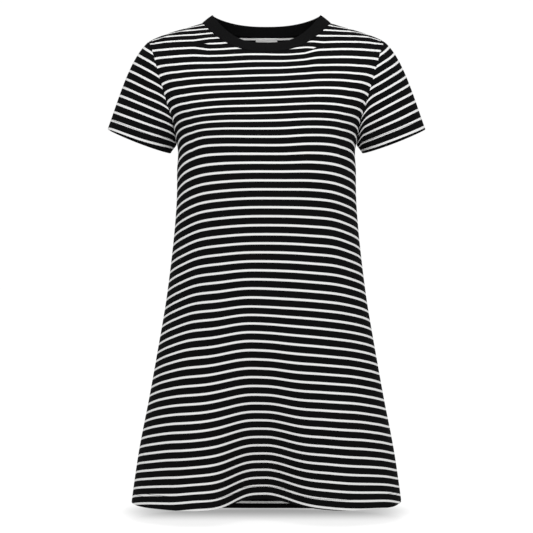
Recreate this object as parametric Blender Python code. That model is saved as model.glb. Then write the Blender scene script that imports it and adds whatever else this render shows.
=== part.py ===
"""T-shirt dress: a worn, hollow jersey dress with a crew neck, short sleeves and a flared hem.

Metres. The origin lies midway between the two shoulder points beside the neckband, the front faces -Y
and +Z is up. Each piece of cloth is one closed wall of its own, 0.3 mm clear of the next at every seam.
"""

import bpy
import numpy as np

for old in list(bpy.data.objects):
    bpy.data.objects.remove(old, do_unlink=True)


def chart(columns, *rows):
    """A short table, kept by the names of its columns."""
    return {name: np.array([row[i] for row in rows]) for i, name in enumerate(columns.split())}


# Driving dimensions
CLOTH = 0.0015            # jersey wall
TURN_UP = 0.0010          # what a turned-up edge adds on the inside
TURN_UP_DEEP = 0.024      # how far the hem and the cuffs are turned up
SEAM = 0.0003             # clearance between two pieces
ROUND = 2.3               # power of the body's rings, 2 being an ellipse

NECK_HALF = 0.1075        # neck seam at the shoulder
NECK_DROP_FRONT = 0.054
NECK_DROP_BACK = 0.0155
NECK_POWER = (2.45, 2.5)  # roundness of the neck line in front and behind
BAND_HALF = 0.0902        # inner edge of the neckband at the shoulder
BAND_RISE = 0.0142
BAND_FRONT = (-0.0485, -0.0375)
BAND_BACK = (0.0490, 0.0014)
BAND_POWER = (2.75, 2.5)

SHOULDER_TIP = (0.197, -0.031)
SHOULDER_ROUND = 0.016    # how far the shoulder seam bows up
RIDGE_START = -0.215      # where the panels begin to close towards the shoulder seam
RIDGE_POWER = 3.5
UNDERARM = -0.203
CHEST = -0.236            # the level above which the panels spread to the shoulders
HEM = -0.8045
HEM_BACK_DIP = 0.025
HEM_FRONT_LIFT = 0.0115
HEM_CORNERS = (0.0020, 0.0055)    # how far the front hem rises to the left and right side seams

CUFF_CENTRE = (0.2140, 0.000, -0.1980)
CUFF_HALF = (0.0567, 0.0460)
CUFF_TILT = 0.361         # radians that the cuff drops towards the body
CUFF_BOW = (0.0025, 0.0015)    # how far the cuff bows down in front and behind
CAP_PULL = 0.74           # how long the sleeve keeps its direction at the armhole, and at the cuff
CUFF_PULL = 0.92

LABEL_HALF = 0.0185
LABEL_DROPS = (0.0016, 0.0230)    # below the neck edge
LABEL_THICK = 0.0008

NECK_STEPS = 9            # mesh steps along half of the neck, the shoulder seam and half of the armhole
SHOULDER_STEPS = 4
ARM_STEPS = 12
RELAX = 150
FINE = 600                # points of a curve before it is split into even steps

# Body rings by height: half width to the side seam, and depth at the centre front and the centre back
BODY = chart(
    "height half front back",
    (-0.835, 0.2305, 0.1185, 0.1170),
    (-0.787, 0.2243, 0.1180, 0.1150),
    (-0.717, 0.2140, 0.1170, 0.1110),
    (-0.626, 0.1964, 0.1150, 0.1060),
    (-0.545, 0.1819, 0.1130, 0.0980),
    (-0.465, 0.1683, 0.1130, 0.0900),
    (-0.400, 0.1598, 0.1150, 0.0880),
    (-0.344, 0.1539, 0.1200, 0.0920),
    (-0.296, 0.1505, 0.1255, 0.0980),
    (-0.250, 0.1500, 0.1285, 0.1030),
    (-0.203, 0.1505, 0.1265, 0.1055),
    (-0.191, 0.1548, 0.1250, 0.1050),
    (-0.170, 0.1650, 0.1205, 0.1035),
    (-0.150, 0.1810, 0.1140, 0.1015),
    (-0.111, 0.2170, 0.0950, 0.0950),
    (-0.087, 0.2420, 0.0825, 0.0895),
    (-0.054, 0.2760, 0.0665, 0.0800),
    (-0.030, 0.3020, 0.0530, 0.0700),
    (-0.010, 0.3220, 0.0440, 0.0615),
    (0.010, 0.3420, 0.0350, 0.0530),
)

# Armhole edge by height, the same seen from the front for both panels
ARMHOLE = chart(
    "height half",
    (-0.2030, 0.1505),
    (-0.1920, 0.1519),
    (-0.1700, 0.1548),
    (-0.1500, 0.1605),
    (-0.1110, 0.1722),
    (-0.0870, 0.1790),
    (-0.0600, 0.1868),
    (-0.0450, 0.1915),
    (-0.0310, 0.1970),
)

# The lower front falls into one deep fold near its centre
VALLEY = chart(
    "height deep centre left right",
    (-0.830, 0.0850, -0.0080, 0.047, 0.060),
    (-0.793, 0.0755, -0.0080, 0.050, 0.061),
    (-0.690, 0.0420, -0.0070, 0.058, 0.066),
    (-0.600, 0.0165, -0.0060, 0.062, 0.070),
    (-0.530, 0.0040, -0.0050, 0.064, 0.070),
    (-0.470, 0.0000, -0.0040, 0.064, 0.070),
    (0.020, 0.0000, 0.0000, 0.064, 0.070),
)
VALLEY_POWER = (2.3, 1.7)
VALLEY_FLOOR = 0.010

# Soft folds of the panels, each a trough (or a ridge where the depth is below 0) along a line
FOLDS = chart(
    "side x0 z0 x1 z1 wide deep",
    (-1, 0.068, -0.062, 0.060, -0.150, 0.012, 0.0040),
    (-1, -0.100, -0.300, -0.150, -0.560, 0.026, 0.0050),
    (-1, 0.112, -0.330, 0.158, -0.600, 0.028, 0.0050),
    (-1, -0.125, -0.620, -0.150, -0.850, 0.024, -0.0060),
    (-1, 0.120, -0.600, 0.128, -0.850, 0.026, -0.0050),
    (1, -0.070, -0.420, -0.120, -0.850, 0.030, 0.0120),
    (1, 0.060, -0.400, 0.100, -0.850, 0.034, 0.0140),
    (1, -0.050, -0.230, 0.030, -0.350, 0.030, 0.0050),
    (1, 0.100, -0.180, 0.070, -0.330, 0.022, 0.0050),
)


def read(table, column, at):
    """A smooth curve through one column of a table, at some heights."""
    at = np.asarray(at, dtype=float)
    keys = table["height"]
    values = table[column]
    slopes = np.gradient(values, keys)
    i = np.clip(np.searchsorted(keys, at) - 1, 0, len(keys) - 2)
    wide = keys[i + 1] - keys[i]
    t = np.clip((at - keys[i]) / wide, 0.0, 1.0)
    rise = values[i] * (1 + 2 * t) * (1 - t) ** 2 + values[i + 1] * t * t * (3 - 2 * t)
    return rise + wide * (slopes[i] * t * (1 - t) ** 2 - slopes[i + 1] * t * t * (1 - t))


def step(at, low, high):
    t = np.clip((at - low) / (high - low), 0.0, 1.0)
    return t * t * (3 - 2 * t)


def unit(v):
    return v / np.maximum(np.linalg.norm(v, axis=-1, keepdims=True), 1e-12)


def shoulder_line(x):
    """Height of the ridge in which front and back meet."""
    slope = SHOULDER_TIP[1] / (SHOULDER_TIP[0] - NECK_HALF)
    t = np.clip((np.abs(x) - NECK_HALF) / (SHOULDER_TIP[0] - NECK_HALF), 0.0, 1.0)
    return slope * (np.abs(x) - NECK_HALF) + SHOULDER_ROUND * t ** 2 * (1 - t)


def valley(x, z):
    """Share of the deep fold at a point of the front, 1 on its floor."""
    off = x - read(VALLEY, "centre", z)
    wide = np.where(off < 0, read(VALLEY, "left", z), read(VALLEY, "right", z))
    power = np.where(off < 0, VALLEY_POWER[0], VALLEY_POWER[1])
    soft = np.sqrt(off ** 2 + VALLEY_FLOOR ** 2) - VALLEY_FLOOR
    return np.exp(-(soft / wide) ** power)


def folds(side, x, z):
    """How far the soft folds push the cloth in at a point of one panel."""
    deep = np.zeros(np.broadcast(x, z).shape)
    for i in np.flatnonzero(FOLDS["side"] == side):
        x0, z0, x1, z1, wide, amount = (FOLDS[k][i] for k in ("x0", "z0", "x1", "z1", "wide", "deep"))
        along = ((x - x0) * (x1 - x0) + (z - z0) * (z1 - z0)) / ((x1 - x0) ** 2 + (z1 - z0) ** 2)
        across = np.hypot(x - x0 - along * (x1 - x0), z - z0 - along * (z1 - z0))
        ends = step(along, -0.05, 0.35) * step(along, 1.1, 0.75)
        deep = deep + amount * ends * np.exp(-(across / wide) ** 2)
    if side < 0:
        deep = deep + read(VALLEY, "deep", z) * valley(x, z)
    return deep


def ridge(x, z):
    """How the depth of a panel closes towards the shoulder: 1 below the underarm, 0 on the shoulder line."""
    up = np.clip((z - RIDGE_START) / (shoulder_line(x) - RIDGE_START), 0.0, None)
    return 1 - up ** RIDGE_POWER


def panel_y(side, x, z, share=None):
    """Depth of the front (side -1) or the back (side 1) over a point seen from the front."""
    bulge = 1 - np.clip(np.abs(x) / read(BODY, "half", z), 0.0, 1.0) ** ROUND
    across = bulge ** (1 / ROUND) if share is None else share
    across = across * np.maximum(ridge(x, z), 0.0) ** (1 / RIDGE_POWER)
    deep = read(BODY, "front" if side < 0 else "back", z)
    y = deep * across - folds(side, x, z) * np.minimum(1, across * 1.6)
    return side * np.maximum(y, SEAM / 2)


def level(side, x, y, z):
    """0 on a panel's outer face, above 0 outside it and below 0 inside."""
    bulge = 1 - (np.abs(x) / read(BODY, "half", z)) ** ROUND
    close = ridge(x, z)
    close = np.sign(close) * np.abs(close) ** (ROUND / RIDGE_POWER)
    across = np.abs(bulge * close) ** (1 / ROUND)
    deep = np.maximum(np.abs(y) + folds(side, x, z) * np.minimum(1, across * 1.6), 0)
    return (deep / read(BODY, "front" if side < 0 else "back", z)) ** ROUND - bulge * close


def level_slope(side, points):
    x, y, z = points[..., 0], points[..., 1], points[..., 2]
    h = 2e-5
    slope = [level(side, x + h, y, z) - level(side, x - h, y, z),
             level(side, x, y + h, z) - level(side, x, y - h, z),
             level(side, x, y, z + h) - level(side, x, y, z - h)]
    return np.stack(slope, axis=-1) / (2 * h)


def panel_out(side, points):
    """Outward normals of a panel at points that lie on it."""
    return unit(level_slope(side, points))


def relax(side, grid):
    """Spreads the inner points of a grid evenly over the panel, leaving its border as it is."""
    for _ in range(RELAX):
        left, right, low, high = grid[:-2, 1:-1], grid[2:, 1:-1], grid[1:-1, :-2], grid[1:-1, 2:]
        across = (right - left) / 2
        up = (high - low) / 2
        twist = (grid[2:, 2:] - grid[:-2, 2:] - grid[2:, :-2] + grid[:-2, :-2]) / 4
        wide = np.sum(across * across, axis=-1, keepdims=True)
        tall = np.sum(up * up, axis=-1, keepdims=True)
        skew = np.sum(across * up, axis=-1, keepdims=True)
        even = (tall * (left + right) + wide * (low + high) - 2 * skew * twist) / (2 * (wide + tall))
        inner = 0.70 * even + 0.30 * (left + right + low + high) / 4
        slope = level_slope(side, inner)
        off = level(side, inner[..., 0], inner[..., 1], inner[..., 2])
        move = slope * (off / np.sum(slope * slope, axis=-1))[..., None]
        far = np.linalg.norm(move, axis=-1, keepdims=True)
        grid[1:-1, 1:-1] = inner - move * np.minimum(1, 0.004 / np.maximum(far, 1e-9))
    return grid


def neck_z(side, x):
    drop, power = (NECK_DROP_FRONT, NECK_POWER[0]) if side < 0 else (NECK_DROP_BACK, NECK_POWER[1])
    return -drop * (1 - np.clip(np.abs(x) / NECK_HALF, 0, 1) ** power)


def evenly(points, count):
    """Points at even steps along a line of many points."""
    far = np.concatenate([[0.0], np.cumsum(np.linalg.norm(np.diff(points, axis=0), axis=1))])
    at = np.linspace(0, far[-1], count)
    return np.stack([np.interp(at, far, points[:, k]) for k in range(3)], axis=1)


def neck_edge(side):
    """The neck edge of one panel, from the centre out to the shoulder at +X."""
    x = NECK_HALF * np.sin(np.linspace(0, np.pi / 2, FINE))
    z = neck_z(side, x)
    return evenly(np.stack([x, panel_y(side, x, z), z], axis=1), NECK_STEPS + 1)


def shoulder_edge(side):
    x = np.linspace(NECK_HALF, SHOULDER_TIP[0], SHOULDER_STEPS + 1)
    return np.stack([x, np.full(len(x), side * SEAM / 2), shoulder_line(x)], axis=1)


def arm_edge(side):
    """The armhole edge of one panel at +X, from the shoulder down to the underarm."""
    z = UNDERARM + (SHOULDER_TIP[1] - UNDERARM) * (0.5 + 0.5 * np.cos(np.linspace(0, np.pi, FINE)))
    x = read(ARMHOLE, "half", z)
    return evenly(np.stack([x, panel_y(side, x, z), z], axis=1), ARM_STEPS + 1)


def top_edge(side):
    """The upper edge of half a panel: neck, shoulder seam and armhole, one point for each column."""
    edge = np.concatenate([neck_edge(side), shoulder_edge(side)[1:], arm_edge(side)[1:]])
    for corner in (NECK_STEPS, NECK_STEPS + SHOULDER_STEPS, len(edge) - 1):
        edge[corner, 1] = side * SEAM / 2
    return edge


def column_shares():
    """Share of the half width at which each column stands below the chest."""
    parts = ((0.0, 0.40, NECK_STEPS), (0.40, 0.60, SHOULDER_STEPS), (0.60, 1.0, ARM_STEPS))
    return np.concatenate([[0.0]] + [np.linspace(low, high, steps + 1)[1:] for low, high, steps in parts])


def hem_z(side, share):
    """Height of the hem at a column, from its signed share of the width."""
    if side > 0:
        return HEM - HEM_BACK_DIP * (1 - abs(share) ** 2)
    x = np.sign(share) * read(BODY, "half", HEM) * np.sin(abs(share) * np.pi / 2) ** (2 / ROUND)
    corner = HEM_CORNERS[1] * step(share, 0.7, 1.0) + HEM_CORNERS[0] * step(-share, 0.6, 1.0)
    return HEM + HEM_FRONT_LIFT * float(valley(x, HEM)) + corner


def panel_points(side, low_rows, high_rows):
    """A grid of points on a panel: columns from side seam to side seam, rows from hem to top."""
    tops = top_edge(side)
    shares = column_shares()
    columns = []
    for i in list(range(len(shares) - 1, 0, -1)) + list(range(len(shares))):
        away = -1 if len(columns) < len(shares) - 1 else 1
        turn = shares[i] * np.pi / 2
        z = np.linspace(hem_z(side, away * shares[i]), CHEST, low_rows)
        x = away * read(BODY, "half", z) * np.sin(turn) ** (2 / ROUND)
        low = np.stack([x, panel_y(side, x, z, np.cos(turn) ** (2 / ROUND)), z], axis=1)
        end = tops[i]
        reach = np.clip(end[0] / read(BODY, "half", end[2]), 0, 1) ** (ROUND / 2)
        t = 1 - (1 - np.linspace(0, 1, 400)) ** 2.5
        z = CHEST + (end[2] - CHEST) * t
        lean = turn + (np.arcsin(reach) - turn) * np.sin(t * np.pi / 2)
        x = away * read(BODY, "half", z) * np.sin(lean) ** (2 / ROUND)
        high = np.stack([x, panel_y(side, x, z, np.abs(np.cos(lean)) ** (2 / ROUND)), z], axis=1)
        high[-1] = (away * end[0], end[1], end[2])
        columns.append(np.concatenate([low, evenly(high, high_rows)[1:]]))
    grid = np.array(columns)
    grid[:, low_rows - 1:] = relax(side, grid[:, low_rows - 1:])
    return grid


def edge_out(side, points):
    """Outward normals along the top edge at +X, level with the seam planes where front and back meet."""
    out = panel_out(side, points)
    out[NECK_STEPS:NECK_STEPS + SHOULDER_STEPS + 1, 1] = 0.0
    out[-1, 1] = 0.0
    return unit(out)


def grid_normals(points, ring=False):
    if ring:
        du = np.roll(points, -1, axis=0) - np.roll(points, 1, axis=0)
    else:
        du = np.gradient(points, axis=0)
    return unit(np.cross(du, np.gradient(points, axis=1)))


def wall(name, outer, inner, ring=False):
    """One closed wall between two grids of points, both split along the same diagonals."""
    nu, nv = outer.shape[:2]
    count = nu * nv
    points = np.concatenate([outer.reshape(-1, 3), inner.reshape(-1, 3)])
    faces = []
    for i in range(nu if ring else nu - 1):
        k = (i + 1) % nu
        for j in range(nv - 1):
            a, b, c, d = i * nv + j, k * nv + j, k * nv + j + 1, i * nv + j + 1
            if np.linalg.norm(points[a] - points[c]) > np.linalg.norm(points[b] - points[d]):
                a, b, c, d = b, c, d, a
            faces += [(a, b, c), (a, c, d)]
            faces += [(count + c, count + b, count + a), (count + d, count + c, count + a)]
        for j, flip in ((0, False), (nv - 1, True)):
            a, b = i * nv + j, k * nv + j
            rim = (b, a, count + a, count + b)
            faces.append(rim[::-1] if flip else rim)
    if not ring:
        for i, flip in ((0, False), (nu - 1, True)):
            for j in range(nv - 1):
                a, b = i * nv + j, i * nv + j + 1
                rim = (a, b, count + b, count + a)
                faces.append(rim[::-1] if flip else rim)
    return solid(name, points, faces)


def solid(name, points, faces):
    mesh = bpy.data.meshes.new(name)
    mesh.from_pydata([tuple(p) for p in points], [], faces)
    mesh.update()
    piece = bpy.data.objects.new(name, mesh)
    bpy.context.collection.objects.link(piece)
    return piece


def cloth_material(name, colour, rough):
    material = bpy.data.materials.new(name)
    material.use_nodes = True
    shader = material.node_tree.nodes["Principled BSDF"]
    shader.inputs["Base Color"].default_value = (*colour, 1)
    shader.inputs["Roughness"].default_value = rough
    return material


def build_panel(name, side, low_rows, high_rows):
    """The front or the back, as one wall with its turned-up hem."""
    outer = panel_points(side, low_rows, high_rows)
    out = panel_out(side, outer)
    half = edge_out(side, top_edge(side))
    out[:, -1] = np.concatenate([half[:0:-1] * (-1, 1, 1), half])
    for edge in (0, -1):
        out[edge, :, 1] = 0.0
    out = unit(out)
    above = outer[..., 2] - outer[:, :1, 2]
    thick = CLOTH + TURN_UP * step(above, TURN_UP_DEEP + 0.004, TURN_UP_DEEP)
    return wall(name, outer, outer - out * thick[..., None])


def seam_frame(edge, out):
    """Directions along a closed seam and off its edge, away from the panels."""
    along = unit(np.roll(edge, -1, axis=0) - np.roll(edge, 1, axis=0))
    out = unit(out - along * np.sum(out * along, axis=1, keepdims=True))
    return along, out, unit(np.cross(along, out))


def sleeve_points(rows):
    """Points and normals of the sleeve at +X, stations round it and rows from armhole to cuff."""
    front, back = arm_edge(-1), arm_edge(1)
    skip = NECK_STEPS + SHOULDER_STEPS
    front_out, back_out = edge_out(-1, top_edge(-1))[skip:], edge_out(1, top_edge(1))[skip:]
    for line in (front, back):
        line[[0, -1], 1] = 0.0
    loop = np.concatenate([front[:-1], back[:0:-1]])
    base = np.concatenate([front_out[:-1], back_out[:0:-1]])
    along, base, leave = seam_frame(loop, base)
    count = len(loop)
    leave = leave * np.sign(leave[0, 0])
    turn = np.arange(count) / count * 2 * np.pi
    share = np.minimum(turn, 2 * np.pi - turn) / np.pi

    across = np.array([-np.cos(CUFF_TILT), 0.0, -np.sin(CUFF_TILT)])
    axis = np.array([np.sin(CUFF_TILT), 0.0, -np.cos(CUFF_TILT)])
    cuff = np.array(CUFF_CENTRE) - across * CUFF_HALF[0] * np.cos(turn)[:, None]
    cuff[:, 1] -= CUFF_HALF[1] * np.sin(turn)
    cuff += axis * (np.where(turn < np.pi, *CUFF_BOW) * np.sin(turn) ** 2)[:, None]

    under = step(share, 0.62, 0.95)[:, None]
    start = loop + SEAM * leave + under * 0.00045 * base
    mix = 0.30 + 0.70 * step(share, 0.0, 0.8)[:, None]
    first = unit((1 - mix) * leave + mix * axis)
    chord = np.linalg.norm(cuff - start, axis=1, keepdims=True)
    t = np.linspace(0, 1, rows)[None, :, None]
    head = start[:, None] * (1 + 2 * t) * (1 - t) ** 2 + cuff[:, None] * t * t * (3 - 2 * t)
    pull = CAP_PULL * first[:, None] * t * (1 - t) ** 2 - CUFF_PULL * axis * t * t * (1 - t)
    outer = head + chord[:, None] * pull
    out = grid_normals(outer, ring=True)
    if np.sum(out * (outer - outer.mean(axis=0, keepdims=True))) < 0:
        out = -out
    out[:, 0] = unit(base * (1 - under) + out[:, 0] * under)
    return outer, out


def build_sleeve(name, hand, rows):
    outer, out = sleeve_points(rows)
    up = np.linalg.norm(outer - outer[:, -1:], axis=2)
    cuff = step(up, TURN_UP_DEEP + 0.004, TURN_UP_DEEP) * step(np.linspace(0, 1, rows), 0.15, 0.5)
    inner = outer - out * (CLOTH + TURN_UP * cuff)[..., None]
    flip = np.array([hand, 1.0, 1.0])
    return wall(name, outer * flip, inner * flip, ring=True)


def build_neckband(name):
    """A folded rib strip standing on the neck seam."""
    front, back = neck_edge(-1), neck_edge(1)
    front_out = edge_out(-1, top_edge(-1))[:NECK_STEPS + 1]
    back_out = edge_out(1, top_edge(1))[:NECK_STEPS + 1]
    for line in (front, back):
        line[-1, 1] = 0.0
    mirror = np.array([-1.0, 1.0, 1.0])
    seam = np.concatenate([front, back[-2::-1], back[1:] * mirror, front[-2:0:-1] * mirror])
    base = np.concatenate([front_out, back_out[-2::-1], back_out[1:] * mirror, front_out[-2:0:-1] * mirror])
    along, base, lift = seam_frame(seam, base)
    lift = lift * np.sign(lift[0, 2])

    cos = np.clip(seam[:, 0] / NECK_HALF, -1, 1)
    bow = np.sqrt(1 - cos ** 2)
    in_front = seam[:, 1] <= 0
    deep = np.where(in_front, BAND_FRONT[0], BAND_BACK[0])
    low = np.where(in_front, BAND_FRONT[1], BAND_BACK[1])
    power = np.where(in_front, *BAND_POWER)
    level = BAND_RISE + (low - BAND_RISE) * (1 - np.abs(cos) ** power)
    top = np.stack([BAND_HALF * cos, deep * bow, level], axis=1)
    rise = top - seam
    own = unit(np.cross(rise, along))
    own = own * np.where(np.sum(own * base, axis=1) < 0, -1, 1)[:, None]
    section = chart(
        "up out",
        (0.00, 0.45), (0.14, 0.75), (0.45, 0.95), (0.80, 0.80), (0.96, 0.30),
        (0.96, -1.20), (0.80, -1.65), (0.45, -1.75), (0.14, -1.85), (0.00, -1.95),
    )
    rings = []
    for up, off in zip(section["up"], section["out"]):
        bend = step(up, 0.0, 0.30)
        out = unit(base * (1 - bend) + own * bend)
        rings.append(seam + SEAM * lift * (1 - up) + rise * up + out * off * 0.001)
    points = np.array(rings)
    rows, count = len(rings), len(seam)
    faces = []
    for i in range(count):
        k = (i + 1) % count
        for j in range(rows):
            m = (j + 1) % rows
            faces.append((j * count + i, j * count + k, m * count + k, m * count + i))
    return solid(name, points.reshape(-1, 3), faces)


def build_label(name):
    """A bare tape label inside the back neck, made from the back's own points moved in."""
    xs = np.linspace(-LABEL_HALF, LABEL_HALF, 9)
    drops = np.linspace(*LABEL_DROPS, 6)
    grid = np.array([[(x, float(panel_y(1, x, neck_z(1, x) - d)), float(neck_z(1, x)) - d)
                      for d in drops] for x in xs])
    out = panel_out(1, grid)
    near = grid - out * (CLOTH + LABEL_THICK)
    far = near - out * LABEL_THICK
    return wall(name, near, far)


def face_out(piece):
    """Turns a closed piece so that its faces look outwards."""
    mesh = piece.data
    volume = 0.0
    for face in mesh.polygons:
        ids = face.vertices
        a = np.array(mesh.vertices[ids[0]].co)
        for k in range(1, len(ids) - 1):
            b = np.array(mesh.vertices[ids[k]].co)
            c = np.array(mesh.vertices[ids[k + 1]].co)
            volume += np.dot(a, np.cross(b, c)) / 6
    if volume < 0:
        mesh.flip_normals()
    return abs(volume)


STRIPED = (0.020, 0.020, 0.022)
PLAIN = (0.015, 0.015, 0.017)
TAPE = (0.75, 0.74, 0.71)
pieces = (
    (build_panel("front", -1, 22, 13), STRIPED),
    (build_panel("back", 1, 16, 11), STRIPED),
    (build_sleeve("sleeve_left", -1, 10), STRIPED),
    (build_sleeve("sleeve_right", 1, 10), STRIPED),
    (build_neckband("neckband"), PLAIN),
    (build_label("label"), TAPE),
)
for piece, colour in pieces:
    volume = face_out(piece)
    piece.data.materials.append(cloth_material(piece.name + "_cloth", colour, 0.9))
    piece.data.polygons.foreach_set("use_smooth", [True] * len(piece.data.polygons))
    piece.data.update()
    print(piece.name, len(piece.data.polygons), "faces,", round(volume * 1e6, 1), "cm3")
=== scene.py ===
# %% [markdown]
# # A striped T-shirt dress, as it is worn
#
# The frame holds plain solids: a front, a back, two set-in sleeves, a folded neckband and a bare
# label. This lesson gives each of them real cloth: a thin shell on the same form, knitted stripes
# that run level in the cloth, seams, a turned-up hem and a ribbed neckband. Everything is in metres,
# the front of the dress looks along -Y and +Z is up.

import bpy
import numpy as np
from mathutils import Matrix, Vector


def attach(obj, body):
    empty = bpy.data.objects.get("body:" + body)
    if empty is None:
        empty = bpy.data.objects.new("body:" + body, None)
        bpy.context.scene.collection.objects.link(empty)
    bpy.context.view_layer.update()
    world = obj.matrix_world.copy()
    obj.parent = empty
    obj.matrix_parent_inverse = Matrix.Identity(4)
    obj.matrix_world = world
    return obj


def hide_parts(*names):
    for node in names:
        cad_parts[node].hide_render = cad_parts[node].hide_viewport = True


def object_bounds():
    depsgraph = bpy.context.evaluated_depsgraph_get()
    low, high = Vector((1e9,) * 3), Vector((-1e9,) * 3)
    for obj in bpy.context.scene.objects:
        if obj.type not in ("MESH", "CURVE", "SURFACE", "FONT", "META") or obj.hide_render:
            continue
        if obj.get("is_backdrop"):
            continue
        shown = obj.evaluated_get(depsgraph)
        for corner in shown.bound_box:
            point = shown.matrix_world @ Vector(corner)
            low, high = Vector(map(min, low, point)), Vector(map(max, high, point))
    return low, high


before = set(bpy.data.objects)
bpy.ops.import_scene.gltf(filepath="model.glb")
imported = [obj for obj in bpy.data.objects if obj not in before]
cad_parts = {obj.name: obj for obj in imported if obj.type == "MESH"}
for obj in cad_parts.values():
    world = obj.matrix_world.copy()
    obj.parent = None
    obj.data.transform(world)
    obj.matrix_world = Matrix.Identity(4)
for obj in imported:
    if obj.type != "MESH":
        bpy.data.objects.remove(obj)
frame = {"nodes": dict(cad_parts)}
cad_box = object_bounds()
print("nodes:", ", ".join(frame["nodes"]))

# %% [markdown]
# ## Sizes
#
# A dress is cut from a few measures: how wide and deep the body is at each height, where the neck,
# shoulder and armhole seams lie, and how far the hem flares. The same measures shape the solids of
# the frame, so the cloth lands on them.


# %% Driving sizes
def chart(columns, *rows):
    """A short table, kept by the names of its columns."""
    return {name: np.array([row[i] for row in rows]) for i, name in enumerate(columns.split())}


CLOTH = 0.0012            # jersey
TURN_UP = 0.0010          # what the turned-up edge adds on the inside
TURN_UP_DEEP = 0.024      # how far the hem and the cuffs are turned up
TURN_UP_EASE = 0.003      # height over which the wall thins again above it
SEAM = 0.00004            # between two sewn edges, which touch but share no face
ROUND = 2.3               # power of the body's rings, 2 being an ellipse

NECK_HALF = 0.1075        # neck seam at the shoulder
NECK_DROP_FRONT = 0.054
NECK_DROP_BACK = 0.0155
NECK_POWER = (2.45, 2.5)  # roundness of the neck line in front and behind
BAND_HALF = 0.0902        # inner edge of the neckband at the shoulder
BAND_RISE = 0.0142
BAND_FRONT = (-0.0485, -0.0375)
BAND_BACK = (0.0490, 0.0014)
BAND_POWER = (2.75, 2.5)
BAND_TALL = 0.022

SHOULDER_TIP = (0.197, -0.031)
SHOULDER_ROUND = 0.016    # how far the shoulder seam bows up
RIDGE_START = -0.215      # where the panels begin to close towards the shoulder seam
RIDGE_POWER = 3.5
UNDERARM = -0.203
CHEST = -0.236            # the level above which the panels spread to the shoulders
HEM = -0.8045
HEM_BACK_DIP = 0.025
HEM_FRONT_LIFT = 0.0115
HEM_CORNERS = (0.0020, 0.0055)    # how far the front hem rises to the left and right side seams

CUFF_CENTRE = (0.2140, 0.000, -0.1980)
CUFF_HALF = (0.0567, 0.0460)
CUFF_TILT = 0.361         # radians that the cuff drops towards the body
CUFF_BOW = (0.0025, 0.0015)    # how far the cuff bows down in front and behind
CAP_PULL = 0.74           # how long the sleeve keeps its direction at the armhole, and at the cuff
CUFF_PULL = 0.92

LABEL_HALF = 0.0185
LABEL_DROPS = (0.0016, 0.0225)    # below the neck seam
LABEL_OFF = 0.0022        # behind the outer face of the back
LABEL_THICK = 0.0005

NECK_STEPS = 9            # coarse steps along half of the neck, the shoulder seam and half of the armhole
SHOULDER_STEPS = 4
ARM_STEPS = 12
TIP_AT = NECK_STEPS + SHOULDER_STEPS    # the shoulder tip's number on the top edge
LAST = TIP_AT + ARM_STEPS
LOW_ROWS = 22
HIGH_ROWS = 13
RELAX = 150               # rounds in which the coarse net evens out

BODY = chart(
    "height half front back",
    (-0.835, 0.2305, 0.1185, 0.1170),
    (-0.787, 0.2243, 0.1180, 0.1150),
    (-0.717, 0.2140, 0.1170, 0.1110),
    (-0.626, 0.1964, 0.1150, 0.1060),
    (-0.545, 0.1819, 0.1130, 0.0980),
    (-0.465, 0.1683, 0.1130, 0.0900),
    (-0.400, 0.1598, 0.1150, 0.0880),
    (-0.344, 0.1539, 0.1200, 0.0920),
    (-0.296, 0.1505, 0.1255, 0.0980),
    (-0.250, 0.1500, 0.1285, 0.1030),
    (-0.203, 0.1505, 0.1265, 0.1055),
    (-0.191, 0.1548, 0.1250, 0.1050),
    (-0.170, 0.1650, 0.1205, 0.1035),
    (-0.150, 0.1810, 0.1140, 0.1015),
    (-0.111, 0.2170, 0.0950, 0.0950),
    (-0.087, 0.2420, 0.0825, 0.0895),
    (-0.054, 0.2760, 0.0665, 0.0800),
    (-0.030, 0.3020, 0.0530, 0.0700),
    (-0.010, 0.3220, 0.0440, 0.0615),
    (0.010, 0.3420, 0.0350, 0.0530),
)
ARMHOLE = chart(
    "height half",
    (-0.2030, 0.1505),
    (-0.1920, 0.1519),
    (-0.1700, 0.1548),
    (-0.1500, 0.1605),
    (-0.1110, 0.1722),
    (-0.0870, 0.1790),
    (-0.0600, 0.1868),
    (-0.0450, 0.1915),
    (-0.0310, 0.1970),
)
VALLEY = chart(
    "height deep centre left right",
    (-0.830, 0.0850, -0.0080, 0.047, 0.060),
    (-0.793, 0.0755, -0.0080, 0.050, 0.061),
    (-0.690, 0.0420, -0.0070, 0.058, 0.066),
    (-0.600, 0.0165, -0.0060, 0.062, 0.070),
    (-0.530, 0.0040, -0.0050, 0.064, 0.070),
    (-0.470, 0.0000, -0.0040, 0.064, 0.070),
    (0.020, 0.0000, 0.0000, 0.064, 0.070),
)
VALLEY_POWER = (2.3, 1.7)
VALLEY_SOFT = 0.010       # half width of its rounded floor
FOLD_FADE = 1.6           # how fast folds fade in from the side seams
FOLDS = chart(
    "side x0 z0 x1 z1 wide deep",
    (-1, 0.068, -0.062, 0.060, -0.150, 0.012, 0.0040),
    (-1, -0.100, -0.300, -0.150, -0.560, 0.026, 0.0050),
    (-1, 0.112, -0.330, 0.158, -0.600, 0.028, 0.0050),
    (-1, -0.125, -0.620, -0.150, -0.850, 0.024, -0.0060),
    (-1, 0.120, -0.600, 0.128, -0.850, 0.026, -0.0050),
    (1, -0.070, -0.420, -0.120, -0.850, 0.030, 0.0120),
    (1, 0.060, -0.400, 0.100, -0.850, 0.034, 0.0140),
    (1, -0.050, -0.230, 0.030, -0.350, 0.030, 0.0050),
    (1, 0.100, -0.180, 0.070, -0.330, 0.022, 0.0050),
)
print("body rings:", len(BODY["height"]), " folds:", len(FOLDS["side"]))

# %% [markdown]
# ## Curves through short tables
#
# A pattern cutter draws a smooth line through a few measured points. `read` does that with a column
# of a table, and `curve_at` does it with points that are only numbered 0, 1, 2 and so on.


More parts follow.
